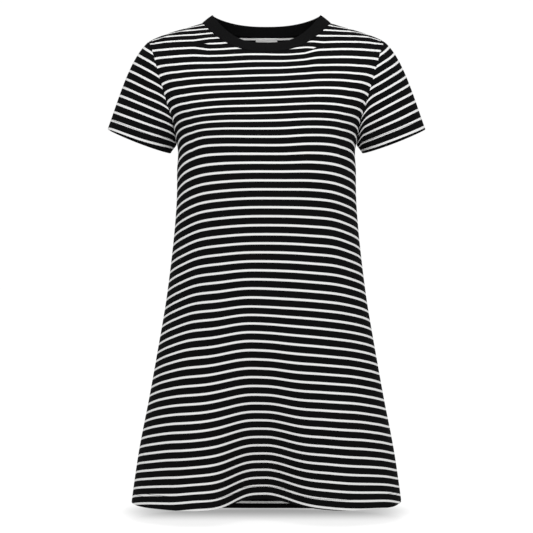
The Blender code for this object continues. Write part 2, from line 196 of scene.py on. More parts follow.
# %% Curve helpers
def hermite(t, a, b, slope_a, slope_b):
    """A smooth step from a to b that leaves and arrives with the given slopes."""
    return (a * (1 + 2 * t) * (1 - t) ** 2 + b * t * t * (3 - 2 * t)
            + slope_a * t * (1 - t) ** 2 - slope_b * t * t * (1 - t))


def read(table, column, at):
    keys = table["height"]
    values = table[column]
    slopes = np.gradient(values, keys)
    at = np.asarray(at, dtype=float)
    i = np.clip(np.searchsorted(keys, at) - 1, 0, len(keys) - 2)
    wide = keys[i + 1] - keys[i]
    t = np.clip((at - keys[i]) / wide, 0.0, 1.0)
    return hermite(t, values[i], values[i + 1], wide * slopes[i], wide * slopes[i + 1])


def curve_at(values, at):
    slopes = np.gradient(values, axis=0)
    i = np.clip(np.floor(at).astype(int), 0, len(values) - 2)
    t = (at - i).reshape(-1, *[1] * (values.ndim - 1))
    return hermite(t, values[i], values[i + 1], slopes[i], slopes[i + 1])


def step(at, low, high):
    t = np.clip((at - low) / (high - low), 0.0, 1.0)
    return t * t * (3 - 2 * t)


def unit(v):
    return v / np.maximum(np.linalg.norm(v, axis=-1, keepdims=True), 1e-12)


def run(points, axis=0, parts=(0, 1, 2)):
    """Distance along lines of points, counting only the named parts of each step."""
    far = np.linalg.norm(np.diff(points[..., list(parts)], axis=axis), axis=-1)
    return np.insert(np.cumsum(far, axis=axis), 0, 0.0, axis=axis)


print("half width at the chest:", round(float(read(BODY, "half", CHEST)), 4), "m")

# %% [markdown]
# ## The worn form of the body
#
# Worn cloth hangs from the shoulders, passes over the chest and falls free to the hem. Here each
# height is a rounded ring, closed towards the shoulder line, with soft folds pushed into it.


# %% Form of the panels
def shoulder_line(x):
    slope = SHOULDER_TIP[1] / (SHOULDER_TIP[0] - NECK_HALF)
    t = np.clip((np.abs(x) - NECK_HALF) / (SHOULDER_TIP[0] - NECK_HALF), 0.0, 1.0)
    return slope * (np.abs(x) - NECK_HALF) + SHOULDER_ROUND * t ** 2 * (1 - t)


def valley(x, z):
    """Share of the deep front fold at a point, 1 on its floor."""
    off = x - read(VALLEY, "centre", z)
    wide = np.where(off < 0, read(VALLEY, "left", z), read(VALLEY, "right", z))
    power = np.where(off < 0, VALLEY_POWER[0], VALLEY_POWER[1])
    soft = np.sqrt(off ** 2 + VALLEY_SOFT ** 2) - VALLEY_SOFT
    return np.exp(-(soft / wide) ** power)


def trough(x, z, x0, z0, x1, z1, wide):
    """Share of a soft fold along a line, 0 beyond its ends."""
    along = ((x - x0) * (x1 - x0) + (z - z0) * (z1 - z0)) / ((x1 - x0) ** 2 + (z1 - z0) ** 2)
    across = np.hypot(x - x0 - along * (x1 - x0), z - z0 - along * (z1 - z0))
    return step(along, -0.05, 0.35) * step(along, 1.1, 0.75) * np.exp(-(across / wide) ** 2)


def folds(side, x, z):
    """How far the soft folds push the cloth in at a point of one panel."""
    deep = np.zeros(np.broadcast(x, z).shape)
    for i in np.flatnonzero(FOLDS["side"] == side):
        *line, amount = (values[i] for name, values in FOLDS.items() if name != "side")
        deep = deep + amount * trough(x, z, *line)
    if side < 0:
        deep = deep + read(VALLEY, "deep", z) * valley(x, z)
    return deep


def ridge(x, z):
    """1 below the underarm, 0 on the shoulder line."""
    up = np.clip((z - RIDGE_START) / (shoulder_line(x) - RIDGE_START), 0.0, None)
    return 1 - up ** RIDGE_POWER


def panel_y(side, x, z, share=None, folded=True):
    """Depth of a panel over a point seen from the front, with or without its folds."""
    bulge = 1 - np.clip(np.abs(x) / read(BODY, "half", z), 0.0, 1.0) ** ROUND
    across = bulge ** (1 / ROUND) if share is None else share
    across = across * np.maximum(ridge(x, z), 0.0) ** (1 / RIDGE_POWER)
    y = read(BODY, "front" if side < 0 else "back", z) * across
    if folded:
        y = y - folds(side, x, z) * np.minimum(1, across * FOLD_FADE)
    return side * np.maximum(y, SEAM / 2)


print("the chest lies", round(float(-panel_y(-1, 0.0, CHEST)), 3), "m in front of the side seams")

# %% [markdown]
# ## Points on the form
#
# The folds and rings also give a number at any point in space: `level` is 0 on the cloth, above 0
# outside and below 0 inside. Its slope says which way the cloth faces and how far off a point is, so
# a point can be slid onto the cloth, and a net of points can be evened out without leaving it.


# %% Sliding and evening
def level(side, x, y, z):
    """0 on a panel, above 0 outside it and below 0 inside."""
    bulge = 1 - (np.abs(x) / read(BODY, "half", z)) ** ROUND
    close = ridge(x, z)
    close = np.sign(close) * np.abs(close) ** (ROUND / RIDGE_POWER)
    across = np.abs(bulge * close) ** (1 / ROUND)
    deep = np.maximum(np.abs(y) + folds(side, x, z) * np.minimum(1, across * FOLD_FADE), 0)
    return (deep / read(BODY, "front" if side < 0 else "back", z)) ** ROUND - bulge * close


def level_slope(side, points):
    x, y, z = points[..., 0], points[..., 1], points[..., 2]
    h = 2e-5
    slope = [level(side, x + h, y, z) - level(side, x - h, y, z),
             level(side, x, y + h, z) - level(side, x, y - h, z),
             level(side, x, y, z + h) - level(side, x, y, z - h)]
    return np.stack(slope, axis=-1) / (2 * h)


def onto_panel(side, points, most):
    """Slides points towards the form, by no more than a set step."""
    slope = level_slope(side, points)
    off = level(side, points[..., 0], points[..., 1], points[..., 2])
    move = slope * (off / np.sum(slope * slope, axis=-1))[..., None]
    far = np.linalg.norm(move, axis=-1, keepdims=True)
    return points - move * np.minimum(1, most / np.maximum(far, 1e-9))


def relax(side, grid, rounds):
    """Spreads the inner points of a grid evenly over the panel, leaving its border as it is."""
    for _ in range(rounds):
        left, right, low, high = grid[:-2, 1:-1], grid[2:, 1:-1], grid[1:-1, :-2], grid[1:-1, 2:]
        across = (right - left) / 2
        up = (high - low) / 2
        twist = (grid[2:, 2:] - grid[:-2, 2:] - grid[2:, :-2] + grid[:-2, :-2]) / 4
        wide = np.sum(across * across, axis=-1, keepdims=True)
        tall = np.sum(up * up, axis=-1, keepdims=True)
        skew = np.sum(across * up, axis=-1, keepdims=True)
        even = (tall * (left + right) + wide * (low + high) - 2 * skew * twist) / (2 * (wide + tall))
        plain = (left + right + low + high) / 4
        grid[1:-1, 1:-1] = onto_panel(side, 0.70 * even + 0.30 * plain, 0.004)
    return grid


seam_slope = level_slope(-1, np.array([0.0, float(panel_y(-1, 0.0, CHEST)), CHEST]))
print("the chest faces", np.round(unit(seam_slope), 2).tolist())

# %% [markdown]
# ## Seam lines
#
# Front and back share three seams at the top: half of the neck, the shoulder and half of the armhole.
# `top_at` gives a point of that edge by its number, so that the panel, the sleeve and the neckband
# can all be sewn along exactly the same line, however finely each is made.


# %% Edges of the panels
def neck_z(side, x):
    drop = NECK_DROP_FRONT if side < 0 else NECK_DROP_BACK
    return -drop * (1 - np.clip(np.abs(x) / NECK_HALF, 0, 1) ** NECK_POWER[side > 0])


def share_of(points, shares):
    """Points at given shares of the length of a line of many points."""
    far = run(points)
    return np.stack([np.interp(shares * far[-1], far, points[:, k]) for k in range(3)], axis=1)


def top_at(side, at):
    """The upper edge of half a panel at +X: 0 is the centre, and neck, shoulder and armhole follow."""
    x = NECK_HALF * np.sin(np.linspace(0, np.pi / 2, 600))
    z = neck_z(side, x)
    neck = np.stack([x, panel_y(side, x, z), z], axis=1)
    x = np.linspace(NECK_HALF, SHOULDER_TIP[0], 200)
    shoulder = np.stack([x, np.full(len(x), side * SEAM / 2), shoulder_line(x)], axis=1)
    z = UNDERARM + (SHOULDER_TIP[1] - UNDERARM) * (0.5 + 0.5 * np.cos(np.linspace(0, np.pi, 600)))
    x = read(ARMHOLE, "half", z)
    arm = np.stack([x, panel_y(side, x, z), z], axis=1)
    for line in (neck[-1:], arm[:1], arm[-1:]):
        line[:, 1] = side * SEAM / 2
    at = np.asarray(at, dtype=float)
    points = share_of(arm, np.clip((at - TIP_AT) / ARM_STEPS, 0, 1))
    on_shoulder = share_of(shoulder, np.clip((at - NECK_STEPS) / SHOULDER_STEPS, 0, 1))
    points[at < TIP_AT] = on_shoulder[at < TIP_AT]
    on_neck = share_of(neck, np.clip(at / NECK_STEPS, 0, 1))
    points[at < NECK_STEPS] = on_neck[at < NECK_STEPS]
    return points


COLUMN = np.arange(LAST + 1)
COLUMN_SHARE = np.interp(COLUMN, [0, NECK_STEPS, TIP_AT, LAST], [0, 0.40, 0.60, 1.0])


def edge_out(side, at):
    """Outward directions along the top edge, level with the seams where front and back meet."""
    at = np.asarray(at, dtype=float)
    out = unit(level_slope(side, top_at(side, at)))
    out[(at >= NECK_STEPS) & (at <= TIP_AT), 1] = 0.0
    out[at >= LAST, 1] = 0.0
    return unit(out)


def hem_z(side, share):
    """Height of the hem at a share of the way from the centre to a side seam."""
    if side > 0:
        return HEM - HEM_BACK_DIP * (1 - abs(share) ** 2)
    x = np.sign(share) * read(BODY, "half", HEM) * np.sin(abs(share) * np.pi / 2) ** (2 / ROUND)
    corner = HEM_CORNERS[1] * step(share, 0.7, 1.0) + HEM_CORNERS[0] * step(-share, 0.6, 1.0)
    return HEM + HEM_FRONT_LIFT * float(valley(x, HEM)) + corner


half_neck = run(top_at(-1, np.linspace(0, NECK_STEPS, 60)))[-1]
print("neck seam, half of the front:", round(float(half_neck) * 1000), "mm")


# %% [markdown]
# ## From coarse to fine
#
# The panel is laid out first with few columns, from side seam to side seam, and few rows, from hem to
# top, and evened out. Then a smooth curve through every line of that net gives a net about 4 mm wide,
# closer along the seams and the hem, where the cloth bends most.


# %% Net of a panel
def coarse_panel(side):
    """Columns from side seam to side seam, each from the hem to the top edge, evened out above."""
    tops = top_at(side, COLUMN)
    columns = []
    for i in list(range(LAST, 0, -1)) + list(range(LAST + 1)):
        away = -1 if len(columns) < LAST else 1
        turn = COLUMN_SHARE[i] * np.pi / 2
        z = np.linspace(hem_z(side, away * COLUMN_SHARE[i]), CHEST, LOW_ROWS)
        x = away * read(BODY, "half", z) * np.sin(turn) ** (2 / ROUND)
        low = np.stack([x, panel_y(side, x, z, np.cos(turn) ** (2 / ROUND)), z], axis=1)
        end = tops[i]
        reach = np.clip(end[0] / read(BODY, "half", end[2]), 0, 1) ** (ROUND / 2)
        t = 1 - (1 - np.linspace(0, 1, 400)) ** 2.5
        z = CHEST + (end[2] - CHEST) * t
        lean = turn + (np.arcsin(reach) - turn) * np.sin(t * np.pi / 2)
        x = away * read(BODY, "half", z) * np.sin(lean) ** (2 / ROUND)
        high = np.stack([x, panel_y(side, x, z, np.abs(np.cos(lean)) ** (2 / ROUND)), z], axis=1)
        high[-1] = (away * end[0], end[1], end[2])
        columns.append(np.concatenate([low, share_of(high, np.linspace(0, 1, HIGH_ROWS))[1:]]))
    grid = np.array(columns)
    grid[:, LOW_ROWS - 1:] = relax(side, grid[:, LOW_ROWS - 1:], RELAX)
    return grid


def stops(*spans):
    """Places along a net: (from, to, steps) for each span, then any others, in order."""
    places = [np.linspace(a, b, n + 1) if n else np.array([a, b]) for a, b, n in spans]
    return np.unique(np.round(np.concatenate(places), 6))


HALF_AT = stops((0, NECK_STEPS, 3 * NECK_STEPS), (NECK_STEPS, TIP_AT, 4 * SHOULDER_STEPS),
                (TIP_AT, LAST, 3 * ARM_STEPS), (LAST - 0.14, LAST - 0.05, 0))
COLUMN_AT = np.concatenate([-HALF_AT[:0:-1], HALF_AT])
TOP_ROW = LOW_ROWS + HIGH_ROWS - 2
ROW_AT = stops((0, LOW_ROWS - 1, 7 * (LOW_ROWS - 1)), (LOW_ROWS - 1, TOP_ROW, 5 * (HIGH_ROWS - 1)),
               (0.013, 0.033, 0), (0.066, 0.066, 0), (TOP_ROW - 0.03, TOP_ROW - 0.09, 0))


def fine_panel(side):
    """The net of a panel at COLUMN_AT by ROW_AT."""
    grid = curve_at(coarse_panel(side), COLUMN_AT + LAST)
    grid = curve_at(grid.swapaxes(0, 1), ROW_AT).swapaxes(0, 1)
    top = top_at(side, np.abs(COLUMN_AT))
    top[:, 0] *= np.sign(COLUMN_AT)
    near_top = step(ROW_AT, TOP_ROW - 2.0, TOP_ROW) ** 1.5
    grid = grid + near_top[:, None] * (top - grid[:, -1])[:, None]
    for _ in range(8):
        grid[1:-1, :-1] = onto_panel(side, grid[1:-1, :-1], 0.002)
    for edge in (0, -1):
        grid[edge, :-1, 0] = np.sign(grid[edge, :-1, 0]) * read(BODY, "half", grid[edge, :-1, 2])
        grid[edge, :, 1] = side * SEAM / 2
    return grid


nets = {side: fine_panel(side) for side in (-1, 1)}
for side, net in nets.items():
    off = level(side, net[1:-1, :-1, 0], net[1:-1, :-1, 1], net[1:-1, :-1, 2])
    print("net", "front" if side < 0 else "back", net.shape[:2], "off the form by", float(np.abs(off).max()))

# %% [markdown]
# ## How the stripes lie
#
# The stripes are knitted in, so they are level in the flat cloth and only the drape bends them. A
# point's height in the cloth is its way up over the worn form, folds left out. To that comes the lie:
# a flared panel lets its stripes drop towards the side seams, the chest lifts the cloth and the deep
# front fold draws it down. The tables give these amounts in millimetres.

# %% Stripe sizes and lie
STRIPE_PITCH = 0.01448    # from one white stripe to the next
STRIPE_WHITE = 0.0037
STRIPE_START = -0.0055    # height in the cloth of the first white stripe below the hem

PLACES = np.array([-1.0, -0.87, -0.66, -0.46, -0.27, -0.09, 0.09, 0.27, 0.46, 0.66, 0.87, 1.0])
LIE = chart(
    "height seam_l far_l side_l mid_l near_l in_l in_r near_r mid_r side_r far_r seam_r",
    (-0.835, 27, 20, 13, 11, 5, 9, 6, 5, 7, 8, 17, 24),
    (-0.740, 33, 27, 20, 14, 11, 18, 16, 9, 11, 16, 24, 27),
    (-0.630, 34, 29, 19, 12, 11, 15, 16, 10, 10, 16, 23, 26),
    (-0.520, 34, 30, 19, 8, 4, -1, 2, 4, 8, 14, 21, 25),
    (-0.360, 28, 24, 14, 3, -2, -5, -5, -3, 0, 8, 16, 21),
    (-0.250, 25, 19, 7, -1, -4, -5, -5, -6, -4, 2, 10, 17),
    (-0.205, 25, 15, 3, -4, -5, -4, -4, -7, -7, -3, 5, 15),
    (-0.140, 29, 24, 13, 8, 4, 2, 0, -2, -1, 3, 11, 15),
    (-0.080, 33, 28, 15, 9, 5, 1, 0, -3, -2, 2, 14, 17),
    (-0.030, 35, 29, 18, 15, 11, 4, 6, 2, 2, 2, 12, 17),
    (-0.004, 36, 29, 21, 26, 22, 7, 7, 8, 13, 1, 10, 18),
)
FOLD_DRAW = chart(        # how far the deep front fold draws the stripes down on its floor
    "height down",
    (-0.835, 22), (-0.760, 27), (-0.690, 26), (-0.620, 20), (-0.550, 9), (-0.470, 0),
)
BACK_DROP = chart(        # the lie of the back at its centre; its side seams match the front's
    "height centre",
    (-0.835, 1), (-0.360, 0), (-0.140, 1), (-0.050, 8), (0.0, 9),
)
SEAM_POWER = 2.5          # how fast the lie of the back grows towards its side seams
MIDDLE_POWER = 8          # and how fast its drop in the middle fades


def lie(table, places, share, height):
    """Metres that the cloth rides up at a share of the way across, from a table with such places."""
    amounts = np.stack([read(table, name, height) for name in list(table)[1:]], axis=-1) / 1000
    slopes = np.gradient(amounts, places, axis=-1)
    slopes[..., places == 0] = 0.0      # smooth over the top line of a sleeve
    i = np.clip(np.searchsorted(places, share) - 1, 0, len(places) - 2)
    wide = places[i + 1] - places[i]
    t = (share - places[i]) / wide

    def pick(values, k):
        return np.take_along_axis(values, k[..., None], axis=-1)[..., 0]

    return hermite(t, pick(amounts, i), pick(amounts, i + 1),
                   wide * pick(slopes, i), wide * pick(slopes, i + 1))


def signed_share():
    share = np.interp(np.abs(COLUMN_AT), COLUMN, COLUMN_SHARE)
    return share * np.sign(COLUMN_AT)


def cloth_of_panel(side):
    """Metres across the cloth from its centre, and up it, at each point of the net."""
    net = nets[side]
    x, z = net[..., 0], net[..., 2]
    around = run(net, axis=0)
    across = around - around[len(COLUMN_AT) // 2]
    share = np.broadcast_to(signed_share()[:, None], z.shape)
    plain = np.stack([panel_y(side, x, z, folded=False), z], axis=-1)
    up = z[:, :1] - HEM + run(plain, axis=1, parts=(0, 1))
    if side < 0:
        up = up + lie(LIE, PLACES, share, z) - read(FOLD_DRAW, "down", z) / 1000 * valley(x, z)
    else:
        seams = lie(LIE, PLACES, np.sign(share), z)
        middle = (1 - share ** 2) ** MIDDLE_POWER
        up = up + seams * np.abs(share) ** SEAM_POWER
        up = up + read(BACK_DROP, "centre", z) / 1000 * middle
    return across, up


cloths = {side: cloth_of_panel(side) for side in nets}
wide, tall = np.ptp(cloths[-1][0]), cloths[-1][1].max()
print("front cloth:", round(float(wide), 3), "m round,", round(float(tall), 3), "m up")

# %% [markdown]
# ## Two tucks beside the neckband
#
# A jersey front bunches a little where it meets the neckband near the shoulders. One stripe on each
# side slips into such a tuck and is gone further out. So the cloth below a tuck rides up, the cloth
# above it comes down, both less with distance, and the stripe pattern skips what is tucked away.

# %% Tucks
TUCKS = chart(            # where each starts and ends, its line in stripes, and the stripes it takes
    "hand from_x to_x low_line high_line below above",
    (-1, 0.092, 0.124, 55.0, 55.0, 0.61, 0.47),
    (1, 0.060, 0.096, 53.0, 54.3, 0.68, 0.55),
)
REACH_BELOW = 4           # stripes below and above a tuck that still slide towards it
REACH_ABOVE = 6
NOWHERE = 10.0            # a height above all cloth, for places without a tuck


def slide(off, most, reach):
    """Stripes from a tuck of cloth that would lie `off` stripes from it, once it is pulled away."""
    moved = off
    for _ in range(12):
        moved = off + most * np.clip(1 - moved / reach, 0, 1) ** 2
    return moved


def tucked(x, up):
    """Height in the cloth with the tucks, the amount tucked away, and the height at which it is."""
    amount = np.zeros(x.shape)
    line = np.full(x.shape, NOWHERE)
    for k, hand in enumerate(TUCKS["hand"]):
        row = {name: values[k] for name, values in TUCKS.items()}
        out = x * hand
        grow = step(out, row["from_x"], row["to_x"])
        stripe = np.interp(out, [row["from_x"], row["to_x"]], [row["low_line"], row["high_line"]])
        off = (up - STRIPE_START) / STRIPE_PITCH - stripe
        low, gap_low = (slide(far, row["below"] * grow, REACH_BELOW)
                        for far in (np.maximum(-off, 0), np.zeros(x.shape)))
        high, gap_high = (slide(far, row["above"] * grow, REACH_ABOVE)
                          for far in (np.maximum(off, 0), np.zeros(x.shape)))
        moved = np.where(off < 0, -low, high - gap_low - gap_high)
        here = out > 0
        up = np.where(here, STRIPE_START + (stripe + moved) * STRIPE_PITCH, up)
        amount = np.where(here, (gap_low + gap_high) * STRIPE_PITCH, amount)
        line = np.where(here, STRIPE_START + (stripe - gap_low) * STRIPE_PITCH, line)
    return up, amount, line


print("tucks:", len(TUCKS["hand"]), "taking up to", TUCKS["below"] + TUCKS["above"], "stripes")

# %% [markdown]
# ## Set-in sleeves
#
# A short sleeve is one flat piece: a curved cap on top of a nearly straight tube. Sewn into the
# armhole it leaves the body along the seam and drops towards the cuff. Each line of the net starts
# square to the seam and arrives along the axis of the cuff.


# %% Net of a sleeve
SLEEVE_STEPS = 48         # steps along half of the armhole
SLEEVE_ROW_AT = np.concatenate([[0.0, 0.008, 0.02], np.linspace(0.04, 0.975, 30), [0.988, 0.996, 1.0]])
UNDER_OFF = 0.00045       # how far the sleeve stands off the body under the arm


def seam_frame(edge, out):
    """Directions along a closed seam and off its edge, away from the panels."""
    along = unit(np.roll(edge, -1, axis=0) - np.roll(edge, 1, axis=0))
    out = unit(out - along * np.sum(out * along, axis=1, keepdims=True))
    return along, out, unit(np.cross(along, out))


def ring_normals(points):
    du = np.roll(points, -1, axis=0) - np.roll(points, 1, axis=0)
    return unit(np.cross(du, np.gradient(points, axis=1)))


def fine_sleeve():
    """Points and outward directions of the sleeve at +X: stations round it, rows from armhole to cuff."""
    at = np.linspace(TIP_AT, LAST, SLEEVE_STEPS + 1)
    front, back = top_at(-1, at), top_at(1, at)
    front_out, back_out = edge_out(-1, at), edge_out(1, at)
    for line in (front, back):
        line[[0, -1], 1] = 0.0
    loop = np.concatenate([front[:-1], back[:0:-1]])
    base = np.concatenate([front_out[:-1], back_out[:0:-1]])
    along, base, leave = seam_frame(loop, base)
    leave = leave * np.sign(leave[0, 0])
    turn = np.arange(len(loop)) / len(loop) * 2 * np.pi
    share = np.minimum(turn, 2 * np.pi - turn) / np.pi

    across = np.array([-np.cos(CUFF_TILT), 0.0, -np.sin(CUFF_TILT)])
    axis = np.array([np.sin(CUFF_TILT), 0.0, -np.cos(CUFF_TILT)])
    cuff = np.array(CUFF_CENTRE) - across * CUFF_HALF[0] * np.cos(turn)[:, None]
    cuff[:, 1] -= CUFF_HALF[1] * np.sin(turn)
    cuff += axis * (np.where(turn < np.pi, *CUFF_BOW) * np.sin(turn) ** 2)[:, None]

    under = step(share, 0.62, 0.95)[:, None]
    start = loop + SEAM * leave + under * UNDER_OFF * base
    mix = 0.30 + 0.70 * step(share, 0.0, 0.8)[:, None]
    first = unit((1 - mix) * leave + mix * axis)
    chord = np.linalg.norm(cuff - start, axis=1, keepdims=True)[:, None]
    t = SLEEVE_ROW_AT[None, :, None]
    outer = hermite(t, start[:, None], cuff[:, None],
                    CAP_PULL * chord * first[:, None], CUFF_PULL * chord * axis)
    out = ring_normals(outer)
    if np.sum(out * (outer - outer.mean(axis=0, keepdims=True))) < 0:
        out = -out
    out[:, 0] = unit(base * (1 - under) + out[:, 0] * under)
    return outer, out, share


sleeve_net, sleeve_out, sleeve_share = fine_sleeve()
print("sleeve net:", sleeve_net.shape[0], "round by", sleeve_net.shape[1], "down")

# %% [markdown]
# ## The neckband
#
# A crew neckband is a strip of rib, folded lengthwise and sewn on slightly stretched, so that it
# stands up round the neck. Its section is a thin loop: up the outside, over the fold and down the
# inside. The strip runs from the neck seam to a neck edge that is a smaller ring.

# %% Net of the neckband
BAND_STEPS = 72           # steps along half of the front or back neck
BAND_SECTION = chart(     # share of the way up the band, and millimetres off the seam plane
    "up out",
    (0.00, 0.45), (0.14, 0.75), (0.45, 0.95), (0.80, 0.85), (0.96, 0.40),
    (1.00, -0.45), (0.96, -1.20), (0.80, -1.65), (0.45, -1.75), (0.14, -1.85), (0.00, -1.95),
)


def fine_neckband():
    """Points of the band, section points by places round it, and metres round and up the strip."""
    at = np.linspace(0, NECK_STEPS, BAND_STEPS + 1)
    front, back = top_at(-1, at), top_at(1, at)
    front_out, back_out = edge_out(-1, at), edge_out(1, at)
    front_out[-1, 1] = back_out[-1, 1] = 0.0
    for line in (front, back):
        line[-1, 1] = 0.0
    mirror = np.array([-1.0, 1.0, 1.0])
    seam = np.concatenate([front, back[-2::-1], back[1:] * mirror, front[-2:0:-1] * mirror])
    base = np.concatenate([front_out, back_out[-2::-1],
                           back_out[1:] * mirror, front_out[-2:0:-1] * mirror])
    along, base, lift = seam_frame(seam, base)
    lift = lift * np.sign(lift[0, 2])
    cos = np.clip(seam[:, 0] / NECK_HALF, -1, 1)
    in_front = seam[:, 1] <= 0
    deep = np.where(in_front, BAND_FRONT[0], BAND_BACK[0])
    low = np.where(in_front, BAND_FRONT[1], BAND_BACK[1])
    power = np.where(in_front, *BAND_POWER)
    height = BAND_RISE + (low - BAND_RISE) * (1 - np.abs(cos) ** power)
    top = np.stack([BAND_HALF * cos, deep * np.sqrt(1 - cos ** 2), height], axis=1)
    rise = top - seam
    own = unit(np.cross(rise, along))
    own = own * np.where(np.sum(own * base, axis=1) < 0, -1, 1)[:, None]
    places = np.linspace(0, len(BAND_SECTION["up"]) - 1, 41)
    ups, offs = (curve_at(BAND_SECTION[name], places) for name in ("up", "out"))
    rings = []
    for up, off in zip(np.clip(ups, 0, 0.985), offs):
        bend = step(up, 0.0, 0.30)
        out = unit(base * (1 - bend) + own * bend)
        rings.append(seam + SEAM * lift * (1 - up) + rise * up + out * off * 0.001)
    around = run(seam)
    return np.array(rings), around, ups


band_net, band_around, band_up = fine_neckband()
print("neckband net:", band_net.shape[0], "by", band_net.shape[1], "round",
      round(float(band_around[-1]), 3), "m of seam")

# %% [markdown]
# ## Cloth with two faces
#
# Real jersey is thin but not flat paper: at the hem it is folded, so the edge is round and twice as
# thick, and along a seam it rolls inwards. `shell` makes one closed wall of a net, its outer face on
# the form and its inner face a cloth's thickness behind. Every point remembers where it lies in the
# flat cloth, which is what the knit and the stripes are drawn from later.


# %% Shells
ROLL = 0.0006             # how far an edge rolls in at a seam, and over what width
ROLL_WIDE = 0.0035


def set_vectors(mesh, name, values):
    layer = mesh.attributes.new(name, "FLOAT_VECTOR", "POINT")
    layer.data.foreach_set("vector", np.ascontiguousarray(values, dtype=np.float32).reshape(-1))


def make_piece(name, points, faces, crisp):
    """A smooth mesh object; edges between two crisp points of one group stay sharp."""
    mesh = bpy.data.meshes.new(name)
    mesh.from_pydata(points.tolist(), [], faces)
    mesh.update()
    mesh.polygons.foreach_set("use_smooth", [True] * len(mesh.polygons))
    ends = np.empty(len(mesh.edges) * 2, dtype=int)
    mesh.edges.foreach_get("vertices", ends)
    ends = crisp[ends.reshape(-1, 2)]
    sharp = mesh.attributes.new("sharp_edge", "BOOLEAN", "EDGE")
    sharp.data.foreach_set("value", (ends[:, 0] == ends[:, 1]) & (ends[:, 0] > 0))
    piece = bpy.data.objects.new(name, mesh)
    bpy.context.collection.objects.link(piece)
    return piece


def shell(name, outer, inner, cloth, lining, tuck, ring=False):
    """One closed wall between two nets, with the place of each point in the flat cloth."""
    nu, nv = outer.shape[:2]
    count = nu * nv
    i, j = np.meshgrid(np.arange(nu if ring else nu - 1), np.arange(nv - 1), indexing="ij")
    k = (i + 1) % nu
    face = np.stack([i * nv + j, k * nv + j, k * nv + j + 1, i * nv + j + 1], axis=-1).reshape(-1, 4)
    corner = outer.reshape(-1, 3)[face]
    normal = np.cross(corner[:, 2] - corner[:, 0], corner[:, 3] - corner[:, 1])
    flip = np.sum(normal * (outer - inner).reshape(-1, 3)[face[:, 0]]) < 0
    if flip:
        face = face[:, ::-1]
    faces = face.tolist() + (face[:, ::-1] + count).tolist()
    last = nu if ring else nu - 1
    rims = [((a % nu) * nv + j0, ((a + 1) % nu) * nv + j0, j0 > 0)
            for a in range(last) for j0 in (0, nv - 1)]
    if not ring:
        rims += [(a0 * nv + b, a0 * nv + b + 1, a0 == 0) for b in range(nv - 1) for a0 in (0, nu - 1)]
    for a, b, back_first in rims:
        rim = (b, a, count + a, count + b) if back_first == flip else (a, b, count + b, count + a)
        faces.append(rim)
    crisp = np.zeros((2, nu, nv), dtype=int)
    crisp[0, :, -1], crisp[1, :, -1] = 1, 2
    if ring:
        crisp[0, :, 0], crisp[1, :, 0] = 3, 4
    else:
        crisp[0, [0, -1]], crisp[1, [0, -1]] = 1, 2

    def both(one, other):
        return np.concatenate([one.reshape(-1, 3), other.reshape(-1, 3)])

    piece = make_piece(name, both(outer, inner), faces, crisp.reshape(-1))
    set_vectors(piece.data, "cloth", both(cloth, lining))
    set_vectors(piece.data, "tuck", both(tuck, tuck))
    return piece


def rolled(outer, out, thick, from_hem, from_seam):
    """Outer and inner net with a round fold at the hem and an inward roll at the seams."""
    half = thick / 2
    near = np.clip(1 - from_hem / half, 0, 0.97)
    fold = half * (1 - np.sqrt(1 - near ** 2))
    roll = ROLL * np.clip(1 - from_seam / ROLL_WIDE, 0, 1) ** 2
    return outer - out * (fold + roll)[..., None], outer - out * (thick - fold)[..., None]


def turned_up(above):
    """1 on the turned-up edge, 0 higher in the cloth."""
    return step(above, TURN_UP_DEEP + TURN_UP_EASE, TURN_UP_DEEP)


def back_side(cloth, above):
    """The inside of a cloth whose lowest part is turned up: there its heights count down again.

    Its third number is below 0, which tells the finish that this is the wrong side, whose white it paints
    much paler as painted light.
    """
    lining = cloth.copy()
    turned = above < TURN_UP_DEEP
    lining[..., 1] = np.where(turned, cloth[..., 1] - 2 * above, cloth[..., 1])
    lining[..., 2] = -1 - above
    return lining


print("wall:", CLOTH * 1000, "mm, turned-up edge:", (CLOTH + TURN_UP) * 1000, "mm")

# %% [markdown]
# ## The two panels
#
# Front and back are walls on their nets. At the side seams and along the top their edges face the same
# way as the neighbour's, so that the seam closes, and only the front gets the two tucks.


# %% Front and back
def panel_piece(name, side):
    """A panel as a wall of cloth, its seam edges level with those of its neighbours."""
    net = nets[side]
    out = unit(level_slope(side, net))
    top = edge_out(side, np.abs(COLUMN_AT))
    top[:, 0] *= np.where(COLUMN_AT < 0, -1, 1)
    out[:, -1] = top
    for edge in (0, -1):
        out[edge, :, 1] = 0.0
    out = unit(out)
    above = run(net, axis=1)
    below = above[:, -1:] - above
    beside = run(net, axis=0)
    from_side = np.minimum(beside, beside[-1:] - beside)
    thick = CLOTH + TURN_UP * turned_up(above)
    outer, inner = rolled(net, out, thick, above, np.minimum(below, from_side))
    across, up = cloths[side]
    amount, line = np.zeros(up.shape), np.full(up.shape, NOWHERE)
    if side < 0:
        up, amount, line = tucked(net[..., 0], up)
    cloth = np.stack([across, up, above], axis=-1)
    tuck = np.stack([amount, line, np.zeros_like(line)], axis=-1)
    return shell(name, outer, inner, cloth, back_side(cloth, above), tuck)


front = panel_piece("front_cloth", -1)
back = panel_piece("back_cloth", 1)
print("panels:", [len(piece.data.polygons) for piece in (front, back)], "faces")

# %% [markdown]
# ## Stripes of a sleeve
#
# The sleeve's stripes are level in its own flat cloth, so they start parallel to the cuff, and nothing
# makes them meet the stripes of the body. Their height is the way up from the cuff. Towards the
# armhole they bend down, because the seam pulls in the eased cap, and most of all near the underarm,
# where a few centimetres of the sleeve are stretched along the seam.

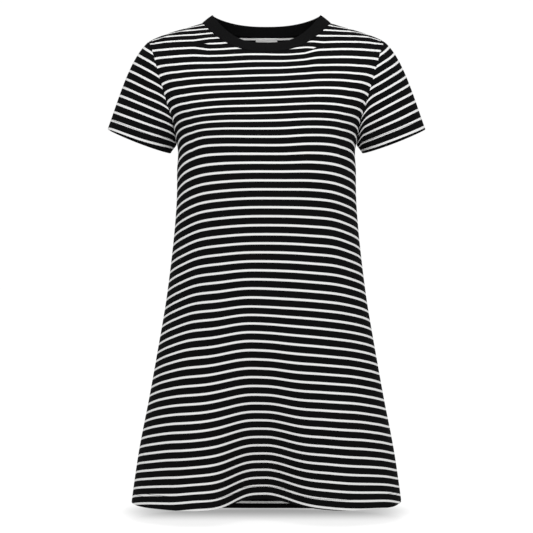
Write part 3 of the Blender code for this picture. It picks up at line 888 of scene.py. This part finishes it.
# %% Sleeves
SLEEVE_START = -0.0075    # height in the sleeve's cloth of the first white stripe below the cuff
SLEEVE_PLACES = np.array([0.0, 0.2, 0.4, 0.55, 0.7, 0.85, 1.0])
SLEEVE_COLUMNS = "height top upper middle_a middle_b lower_a lower_b under"
LIE_SLEEVE_LEFT = chart(
    SLEEVE_COLUMNS,
    (0.00, 6, 4, 3, 2, 0, -3, -5),
    (0.03, 5, 5, 4, 3, 1, 0, -2),
    (0.06, 5, 5, 5, 5, 4, 3, 3),
    (0.09, 4, 5, 7, 7, 7, 7, 7),
    (0.12, 3, 5, 8, 9, 10, 11, 12),
    (0.15, 1, 5, 9, 11, 13, 15, 17),
)
LIE_SLEEVE_RIGHT = chart(
    SLEEVE_COLUMNS,
    (0.00, 2, 3, 3, 3, 3, 2, 1),
    (0.03, 1, 2, 4, 5, 6, 7, 8),
    (0.06, 0, 2, 5, 8, 10, 13, 15),
    (0.09, -1, 3, 8, 11, 15, 18, 21),
    (0.12, -1, 5, 11, 15, 20, 24, 28),
    (0.15, -1, 7, 14, 19, 24, 30, 35),
)
PULL = chart(             # of the armhole seam on the stripes, from the top line round to the underarm
    "hand most starts full reach",
    (-1, 0.0033, 0.15, 0.65, 0.020),
    (1, 0.0130, 0.43, 0.80, 0.018),
)


def cloth_of_sleeve(hand):
    """Metres round the sleeve, up its stripes and above the cuff, at each point of its net."""
    _, most, starts, full, reach = (values[PULL["hand"] == hand] for values in PULL.values())
    below = run(sleeve_net, axis=1)
    above = below[:, -1:] - below
    across = run(np.concatenate([sleeve_net, sleeve_net[:1]]), axis=0)[:-1]
    share = np.broadcast_to(sleeve_share[:, None], above.shape)
    table = LIE_SLEEVE_LEFT if hand < 0 else LIE_SLEEVE_RIGHT
    up = above + STRIPE_START - SLEEVE_START + lie(table, SLEEVE_PLACES, share, above)
    up = up + most * step(share, starts, full) * np.clip(1 - below / reach, 0, 1) ** 2
    return np.stack([across, up, above], axis=-1)


def sleeve_piece(name, hand):
    cloth = cloth_of_sleeve(hand)
    above = cloth[..., 2]
    rows = np.linspace(0, 1, sleeve_net.shape[1])
    thick = CLOTH + TURN_UP * turned_up(above) * step(rows, 0.15, 0.5)
    below = run(sleeve_net, axis=1)
    outer, inner = rolled(sleeve_net, sleeve_out, thick, above, below)
    flip = np.array([hand, 1.0, 1.0])
    none = np.zeros_like(cloth)
    none[..., 1] = NOWHERE
    return shell(name, outer * flip, inner * flip, cloth, back_side(cloth, above), none, ring=True)


sleeve_left = sleeve_piece("sleeve_left_cloth", -1)
sleeve_right = sleeve_piece("sleeve_right_cloth", 1)
print("sleeves:", [len(piece.data.polygons) for piece in (sleeve_left, sleeve_right)], "faces")

# %% [markdown]
# ## Band and label
#
# The band is a closed loop of sections. The label is a short piece of woven tape, bare, that hangs
# from the back neck seam on the inside, so it is made from the back's own form, moved inwards.


# %% Neckband and label pieces
def neckband_piece(name):
    """The band's sections joined into a closed ring."""
    rows, count = band_net.shape[:2]
    i, j = np.meshgrid(np.arange(count), np.arange(rows), indexing="ij")
    k, m = (i + 1) % count, (j + 1) % rows
    face = np.stack([j * count + i, j * count + k, m * count + k, m * count + i], axis=-1).reshape(-1, 4)
    piece = make_piece(name, band_net.reshape(-1, 3), face.tolist(), np.zeros(rows * count, dtype=int))
    around = np.broadcast_to(band_around, (rows, count))
    up = np.broadcast_to(band_up[:, None] * BAND_TALL, (rows, count))
    set_vectors(piece.data, "cloth", np.stack([around, up, np.ones_like(up)], axis=-1))
    return piece


def label_piece(name):
    """A short tape that hangs inside the back from its neck seam and waves a little at its free end."""
    flat_x, drop = np.meshgrid(np.linspace(-LABEL_HALF, LABEL_HALF, 38), np.linspace(*LABEL_DROPS, 22),
                               indexing="ij")
    z = neck_z(1, flat_x) - drop
    net = np.stack([flat_x, panel_y(1, flat_x, z), z], axis=-1)
    out = unit(level_slope(1, net))
    free = drop / 0.02
    wave = 0.0004 * np.sin(flat_x * 260) * free + 0.0003 * free ** 2
    near = net - out * (LABEL_OFF + wave)[..., None]
    far = near - out * LABEL_THICK
    cloth = np.stack([flat_x, drop, np.minimum(LABEL_HALF - np.abs(flat_x), drop)], axis=-1)
    return shell(name, near, far, cloth, cloth, np.zeros_like(cloth))


def outward(piece):
    """Turns a closed piece so that its faces look outwards."""
    mesh = piece.data
    mesh.calc_loop_triangles()
    ids = np.empty(len(mesh.loop_triangles) * 3, dtype=int)
    mesh.loop_triangles.foreach_get("vertices", ids)
    points = np.empty(len(mesh.vertices) * 3)
    mesh.vertices.foreach_get("co", points)
    a, b, c = points.reshape(-1, 3)[ids.reshape(-1, 3)].transpose(1, 0, 2)
    volume = np.sum(a * np.cross(b, c)) / 6
    if volume < 0:
        mesh.flip_normals()
    return abs(volume)


neckband = neckband_piece("neckband_rib")
label = label_piece("label_tape")
for piece in (front, back, sleeve_left, sleeve_right, neckband, label):
    print(piece.name, "cloth volume", round(outward(piece) * 1e6, 1), "cm3")

# %% [markdown]
# ## Shader sums in plain Python
#
# A finish is worked out from a point's place in the cloth with many small sums. `Wire` lets them be
# written as Python: each sum on wires adds its Math node. `Finish.node` makes every other node.


# %% Wires and finishes
class Wire:
    """A socket that can be used in sums."""

    def __init__(self, finish, socket):
        self.finish = finish
        self.socket = socket

    def sum(self, operation, *values):
        return self.finish.node("Math", {"operation": operation}, dict(enumerate(values)))

    def __add__(self, other):
        return self.sum("ADD", self, other)

    def __radd__(self, other):
        return self.sum("ADD", other, self)

    def __sub__(self, other):
        return self.sum("SUBTRACT", self, other)

    def __rsub__(self, other):
        return self.sum("SUBTRACT", other, self)

    def __mul__(self, other):
        return self.sum("MULTIPLY", self, other)

    def __rmul__(self, other):
        return self.sum("MULTIPLY", other, self)

    def __truediv__(self, other):
        return self.sum("DIVIDE", self, other)

    def __abs__(self):
        return self.sum("ABSOLUTE", self)


class Finish:
    """The nodes of one material, round one Principled shader."""

    def __init__(self, name, **constants):
        self.material = bpy.data.materials.new(name)
        self.material.use_nodes = True
        self.tree = self.material.node_tree
        self.shader = self.tree.nodes["Principled BSDF"]
        for socket, value in constants.items():
            self.shader.inputs[socket.replace("_", " ")].default_value = value

    def node(self, kind, settings=None, inputs=None, output=0):
        made = self.tree.nodes.new("ShaderNode" + kind)
        for name, value in (settings or {}).items():
            setattr(made, name, value)
        for name, value in (inputs or {}).items():
            self.feed(made.inputs[name], value)
        return Wire(self, made.outputs[output])

    def feed(self, socket, value):
        if isinstance(value, Wire):
            self.tree.links.new(value.socket, socket)
        else:
            socket.default_value = value

    def place(self, attribute):
        """The three numbers of a named place in the cloth."""
        vector = self.node("Attribute", {"attribute_name": attribute}, output="Vector")
        split = self.node("SeparateXYZ", None, {0: vector})
        outputs = split.socket.node.outputs
        return vector, [Wire(self, outputs[k]) for k in range(3)]

    def ease(self, value, low, high):
        """0 where value is at low and 1 at high, smooth between."""
        return self.node("MapRange", {"interpolation_type": "SMOOTHSTEP"},
                         {"Value": value, "From Min": low, "From Max": high})

    def blend(self, share, one, other):
        """One colour where share is 0 and the other where it is 1."""
        def rgba(colour):
            return colour if isinstance(colour, Wire) else (*colour, 1.0)

        return self.node("Mix", {"data_type": "RGBA"}, {0: share, 6: rgba(one), 7: rgba(other)}, output=2)

    def noise(self, vector, scale, detail=2.0):
        return self.node("TexNoise", None, {"Vector": vector, "Scale": scale, "Detail": detail})

    def sine(self, value):
        return self.node("Math", {"operation": "SINE"}, {0: value})

    def within(self, value, pitch):
        """How far a value is into its step of a pattern that repeats."""
        return self.node("Math", {"operation": "FLOORED_MODULO"}, {0: value, 1: pitch})

    def relief(self, height, strength, deep):
        return self.node("Bump", None, {"Strength": strength, "Distance": deep, "Height": height})

    def finish(self, **sockets):
        for name, value in sockets.items():
            self.feed(self.shader.inputs[name.replace("_", " ")], value)
        return self.material


# %% [markdown]
# ## Striped jersey
#
# Yarn-dyed jersey changes colour from one course of loops to the next, so a stripe's edge is crisp
# but follows the loops. The knit is a fine rib: ridges about 1.3 mm apart run up the cloth, and the
# grooves between them are painted darker, a painted shade. The hem and the cuffs carry two rows of
# black stitches. The white of the wrong side is painted much paler, painted light that stands in for
# the light the inside lacks. All of this comes from the place in the cloth.

# %% Stripes and knit
INK = (0.0030, 0.0030, 0.0032)
CHALK = (0.70, 0.70, 0.695)
# Painted light: the white of the inside is much paler than that of the outside, standing in for light that
# hardly reaches the inside.
CHALK_INSIDE_PAINTED_LIGHT = (0.94, 0.94, 0.93)
CHALK_FLECK = (0.60, 0.60, 0.60)
WALE = 0.0013             # from ridge to ridge
COURSE = 0.0009           # from one course of loops to the next
SOFT = 0.00012            # how far a stripe's edge is soft, and wavers with the loops
FLECKS = 900.0            # of fibre, and cloudy patches, to the metre
CLOUDS = 14.0
TAU = 6.2832


def toned(colour, factor):
    return tuple(part * factor for part in colour)


jersey = Finish("striped_jersey", Roughness=0.95, Specular_IOR_Level=0.03)
vector, (across, up, above) = jersey.place("cloth")
_, (amount, line, _) = jersey.place("tuck")
beyond = jersey.node("Math", {"operation": "GREATER_THAN"}, {0: up, 1: line})
up = up + amount * beyond

wale = jersey.sine(across * (TAU / WALE))
loops = jersey.sine(across * (2 * TAU / WALE))
phase = jersey.within(up - (STRIPE_START - STRIPE_PITCH / 2) + loops * SOFT, STRIPE_PITCH)
off_centre = abs(phase - STRIPE_PITCH / 2)
white = jersey.ease(off_centre, STRIPE_WHITE / 2 + SOFT, STRIPE_WHITE / 2 - SOFT)

fleck = jersey.noise(vector, FLECKS)
cloudy = jersey.noise(vector, CLOUDS)
# Painted shade: the grooves between the ridges are painted darker than the ridges, in the white stripes and
# in the black.
ridge_painted_light = jersey.ease(wale, -1.0, 0.6)
chalk = jersey.blend(ridge_painted_light, toned(CHALK, 0.90), CHALK)
chalk = jersey.blend(jersey.ease(fleck, 0.35, 0.75) * 0.10, chalk, CHALK_FLECK)
# Painted light: the wrong side gets the much paler white.
chalk = jersey.blend(jersey.ease(above, -0.4, -0.9), chalk, CHALK_INSIDE_PAINTED_LIGHT)
# The black is lighter on the ridges, a painted shade in the grooves, and also varies at random in cloudy
# patches.
ink = jersey.blend(ridge_painted_light * 0.6 + cloudy * 0.4, toned(INK, 0.6), toned(INK, 1.6))
colour = jersey.blend(white, ink, chalk)
print("white stripes", STRIPE_WHITE * 1000, "mm wide,", STRIPE_PITCH * 1000, "mm apart")

# %% [markdown]
# ## Stitches and relief
#
# A twin needle leaves two rows of stitches above a turned-up edge. Each row is a narrow band at its
# height above the edge, cut into stitches round it. The relief adds up ridges, courses, fibre and
# stitches, and a Bump node turns it into a slope of the surface.

# %% Stitches and relief
THREAD = (0.006, 0.006, 0.0065)
STITCH_ROWS = (0.0175, 0.0225)    # above the hem or the cuff
STITCH = 0.0031           # from one stitch to the next

rows = sum(jersey.ease(abs(above - row), 0.00045, 0.00025) for row in STITCH_ROWS)
along = jersey.within(across, STITCH)
stitch = rows * jersey.ease(along, 0.00015, 0.0004) * jersey.ease(along, 0.0029, 0.0027)
colour = jersey.blend(stitch, colour, THREAD)

courses = jersey.sine(up * (TAU / COURSE))
height = wale * 0.5 + courses * 0.12 + fleck * 0.35 + stitch * 1.2
jersey.finish(Base_Color=colour, Normal=jersey.relief(height, 0.55, 0.00022))
print("jersey nodes:", len(jersey.tree.nodes))

# %% [markdown]
# ## Black rib and label tape
#
# The neckband is a one-by-one rib in plain black: its ridges stand square to the seam, so they are
# drawn from the way round the neck, and its grooves are painted darker, a painted shade. The label is a
# bright woven tape with a fine over-and-under weave and two selvedges; the threads that pass under are
# painted darker, a painted shade.

# %% Rib and tape
# The first two are the black of the grooves and of the ridges, a painted shade between them; the third is
# the black of the fibre flecks.
RIB_INK = ((0.0020, 0.0020, 0.0021), (0.0060, 0.0060, 0.0063), (0.0075, 0.0075, 0.0078))
RIB_WALE = 0.0015
RIB_COURSE = 0.0010
RIB_FLECKS = 700.0
# The first two are the threads that pass under and over, a painted shade between them; the third is the
# selvedge.
TAPE_YARN = ((0.80, 0.80, 0.79), (0.90, 0.90, 0.89), (0.92, 0.92, 0.91))
TAPE_WEAVE = 0.0006       # from thread to thread, and half the width of the selvedge

rib = Finish("plain_rib", Roughness=0.95, Specular_IOR_Level=0.03)
vector, (across, up, _) = rib.place("cloth")
wale = rib.sine(across * (TAU / RIB_WALE))
fleck = rib.noise(vector, RIB_FLECKS)
# Painted shade: the grooves of the rib are painted darker than its ridges.
colour = rib.blend(rib.ease(wale, -1.0, 0.8), *RIB_INK[:2])
colour = rib.blend(rib.ease(fleck, 0.45, 0.65) * 0.5, colour, RIB_INK[2])
height = wale * 0.6 + fleck * 0.3 + rib.sine(up * (TAU / RIB_COURSE)) * 0.1
rib.finish(Base_Color=colour, Normal=rib.relief(height, 0.7, 0.0003))

tape = Finish("label_tape", Roughness=0.75, Specular_IOR_Level=0.25)
_, (across, down, edge) = tape.place("cloth")
weave = tape.sine(across * (TAU / TAPE_WEAVE)) * tape.sine(down * (TAU / TAPE_WEAVE))
# Painted shade: the threads that pass under are painted darker than those on top.
colour = tape.blend(tape.ease(weave, -1.0, 1.0), *TAPE_YARN[:2])
colour = tape.blend(tape.ease(edge, 2 * TAPE_WEAVE, TAPE_WEAVE) * 0.4, colour, TAPE_YARN[2])
tape.finish(Base_Color=colour, Normal=tape.relief(weave, 0.5, 0.00015))
for piece, finish in ((front, jersey), (back, jersey), (sleeve_left, jersey), (sleeve_right, jersey),
                      (neckband, rib), (label, tape)):
    piece.data.materials.append(finish.material)
print("materials:", len(bpy.data.materials))

# %% [markdown]
# ## Riding on the frame
#
# Each shell stands for the solid of the same cloth, which is hidden, and moves with the one body
# of the frame; its finish was given above. CUTS also lists the slot and the size each piece was cut
# to, which nothing here reads. All the jersey pieces are cut flat: a panel is widest at its hem, and
# the sleeve has a curved cap. The neckband's size is that of the strip once it is folded lengthwise,
# because its wall stands for both layers.

# %% Declarations
CUTS = (
    (front, "front", "striped_jersey", (0.565, 0.860), 0.372),
    (back, "back", "striped_jersey", (0.545, 0.850), 0.366),
    (sleeve_left, "sleeve_left", "striped_jersey", (0.360, 0.160), 0.0355),
    (sleeve_right, "sleeve_right", "striped_jersey", (0.360, 0.160), 0.0355),
    (neckband, "neckband", "plain_rib", (0.560, 0.0225), None),
    (label, "label", "label_tape", (0.037, 0.0245), None),
)
for piece, node, slot, flat, area in CUTS:
    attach(piece, "root")
    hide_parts(node)
print("declared:", len(CUTS))

# %% [markdown]
# ## Floor and room
#
# The dress stands in its worn shape just over a pale sheet of paper. The paper has a glow of its own,
# and a painted shadow dims it softly under the skirt: even under the cloth, soft at the sides, and short
# in front. That painted shadow stands in for the gentle shade that a very large soft light leaves. A
# white wall far away closes the room behind the dress in every view. Only the camera sees the wall, so
# it throws no light on the cloth.

# %% Floor and wall
FLOOR = -0.8316
ROOM = 28.0               # radius of the room
SIDES = 64                # straight sides of its round floor
PAPER = (0.18, 0.18, 0.18, 1.0)
GLOW = 0.88               # of the paper, and what is left of it in the painted shadow under the skirt
PAINTED_SHADOW_GLOW = 0.35
PAINTED_SHADOW_CENTRE = 0.10       # how far behind the middle of the dress the painted shadow lies
PAINTED_SHADOW_HALF = (0.265, 0.145)    # how far it reaches to the sides, and to the front and back
WHITE = (1.0, 1.0, 1.0, 1.0)
BLACK = (0.0, 0.0, 0.0, 1.0)


def stage_piece(name, points, faces, finish):
    mesh = bpy.data.meshes.new(name)
    mesh.from_pydata(points, [], faces)
    mesh.materials.append(finish.material)
    thing = bpy.data.objects.new(name, mesh)
    bpy.context.collection.objects.link(thing)
    thing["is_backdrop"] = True
    return thing


paper = Finish("paper", Roughness=1.0, Specular_IOR_Level=0.0, Base_Color=PAPER, Emission_Strength=1.0)
# Painted shadow: by its place on the floor, the glow of the paper is dimmed in a soft patch under and behind
# the skirt.
spot = paper.node("SeparateXYZ", None, {0: paper.node("NewGeometry", output="Position")})
off_x, off_y = (Wire(paper, spot.socket.node.outputs[name]) for name in "XY")
off_x = off_x / PAINTED_SHADOW_HALF[0]
off_x = off_x * off_x
off_x = off_x * off_x
off_y = (off_y - PAINTED_SHADOW_CENTRE) / PAINTED_SHADOW_HALF[1]
away = paper.node("Math", {"operation": "SQRT"}, {0: off_x * off_x + off_y * off_y})
paper.finish(Emission_Color=paper.blend(paper.ease(away, 0.0, 1.0), (PAINTED_SHADOW_GLOW,) * 3, (GLOW,) * 3))
white_wall = Finish("white_wall", Roughness=1.0, Base_Color=BLACK,
                    Emission_Strength=1.0, Emission_Color=WHITE)

rim = [(ROOM * np.cos(turn), ROOM * np.sin(turn)) for turn in np.arange(SIDES) * 2 * np.pi / SIDES]
stage_piece("floor", [(x, y, FLOOR) for x, y in rim], [range(SIDES)], paper)
panes = [(k, (k + 1) % SIDES, SIDES + (k + 1) % SIDES, SIDES + k) for k in range(SIDES)]
wall = stage_piece("wall", [(x, y, z) for z in (FLOOR, ROOM) for x, y in rim], panes, white_wall)
for ray in ("diffuse", "glossy", "transmission", "shadow"):
    setattr(wall, "visible_" + ray, False)
print("room:", 2 * ROOM, "m across, floor at", FLOOR, "m")

# %% [markdown]
# ## Light
#
# A white sky fills every fold with soft light. It is dimmer to the left and right, so that the sides
# of the dress turn a little darker and the body looks round. One large soft lamp from above and in
# front lifts the shoulders and the chest.

# %% Sky and lamp
SKY = 1.16                # strength in front, behind and above, and at the far left and right
SKY_SIDE = 0.35
LAMP_PLACE = Vector((0.12, -1.0, 0.8))
LAMP_AIM = Vector((0, 0, -0.25))

world = bpy.data.worlds.new("sky")
bpy.context.scene.world = world
world.use_nodes = True
tree = world.node_tree
towards, split, sideways, dimmed = (tree.nodes.new("ShaderNode" + kind)
                                    for kind in ("TexCoord", "SeparateXYZ", "Math", "MapRange"))
sideways.operation = "ABSOLUTE"
for socket, value in {"From Min": 0.3, "From Max": 1.0, "To Min": SKY, "To Max": SKY_SIDE}.items():
    dimmed.inputs[socket].default_value = value
sky = tree.nodes["Background"]
sky.inputs["Color"].default_value = WHITE
for out, into in ((towards.outputs["Generated"], split.inputs[0]),
                  (split.outputs["X"], sideways.inputs[0]),
                  (sideways.outputs[0], dimmed.inputs["Value"]),
                  (dimmed.outputs[0], sky.inputs["Strength"])):
    tree.links.new(out, into)

light = bpy.data.lights.new("key", "AREA")
light.shape = "DISK"
light.size = 0.7
light.energy = 11.0
lamp = bpy.data.objects.new("key", light)
lamp.location = LAMP_PLACE
lamp.rotation_mode = "QUATERNION"
lamp.rotation_quaternion = (LAMP_AIM - LAMP_PLACE).to_track_quat("-Z", "Y")
bpy.context.collection.objects.link(lamp)
print("lamp:", light.size, "m across,", light.energy, "W")

# %% [markdown]
# ## Camera
#
# The camera looks straight at the front from 3 m away, level with the middle of the dress. A long
# lens keeps the hem and the shoulders in proportion.

# %% Camera
EYE = -0.408              # height of the camera
FAR = 3.0
VIEW_WIDE = 533 * 0.00168    # metres across the view at the dress
FILM = 36.0               # millimetres

camera = bpy.data.objects.new("camera", bpy.data.cameras.new("camera"))
camera.location = (0, -FAR, EYE)
camera.rotation_euler = (np.pi / 2, 0, 0)
camera.data.sensor_width = FILM
camera.data.lens = FILM * FAR / VIEW_WIDE
bpy.context.collection.objects.link(camera)
bpy.context.scene.camera = camera
bpy.context.scene.view_settings.view_transform = "Standard"
print("camera lens", round(camera.data.lens, 1), "mm")

# %% Boxes and finish
cloth_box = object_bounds()
sizes = {"cad": [list(map(float, corner)) for corner in cad_box],
         "visual": [list(map(float, corner)) for corner in cloth_box]}
differ = (np.array(sizes["visual"]) - np.array(sizes["cad"])) * 1000
print("boxes differ by", np.round(differ, 1).tolist(), "mm")
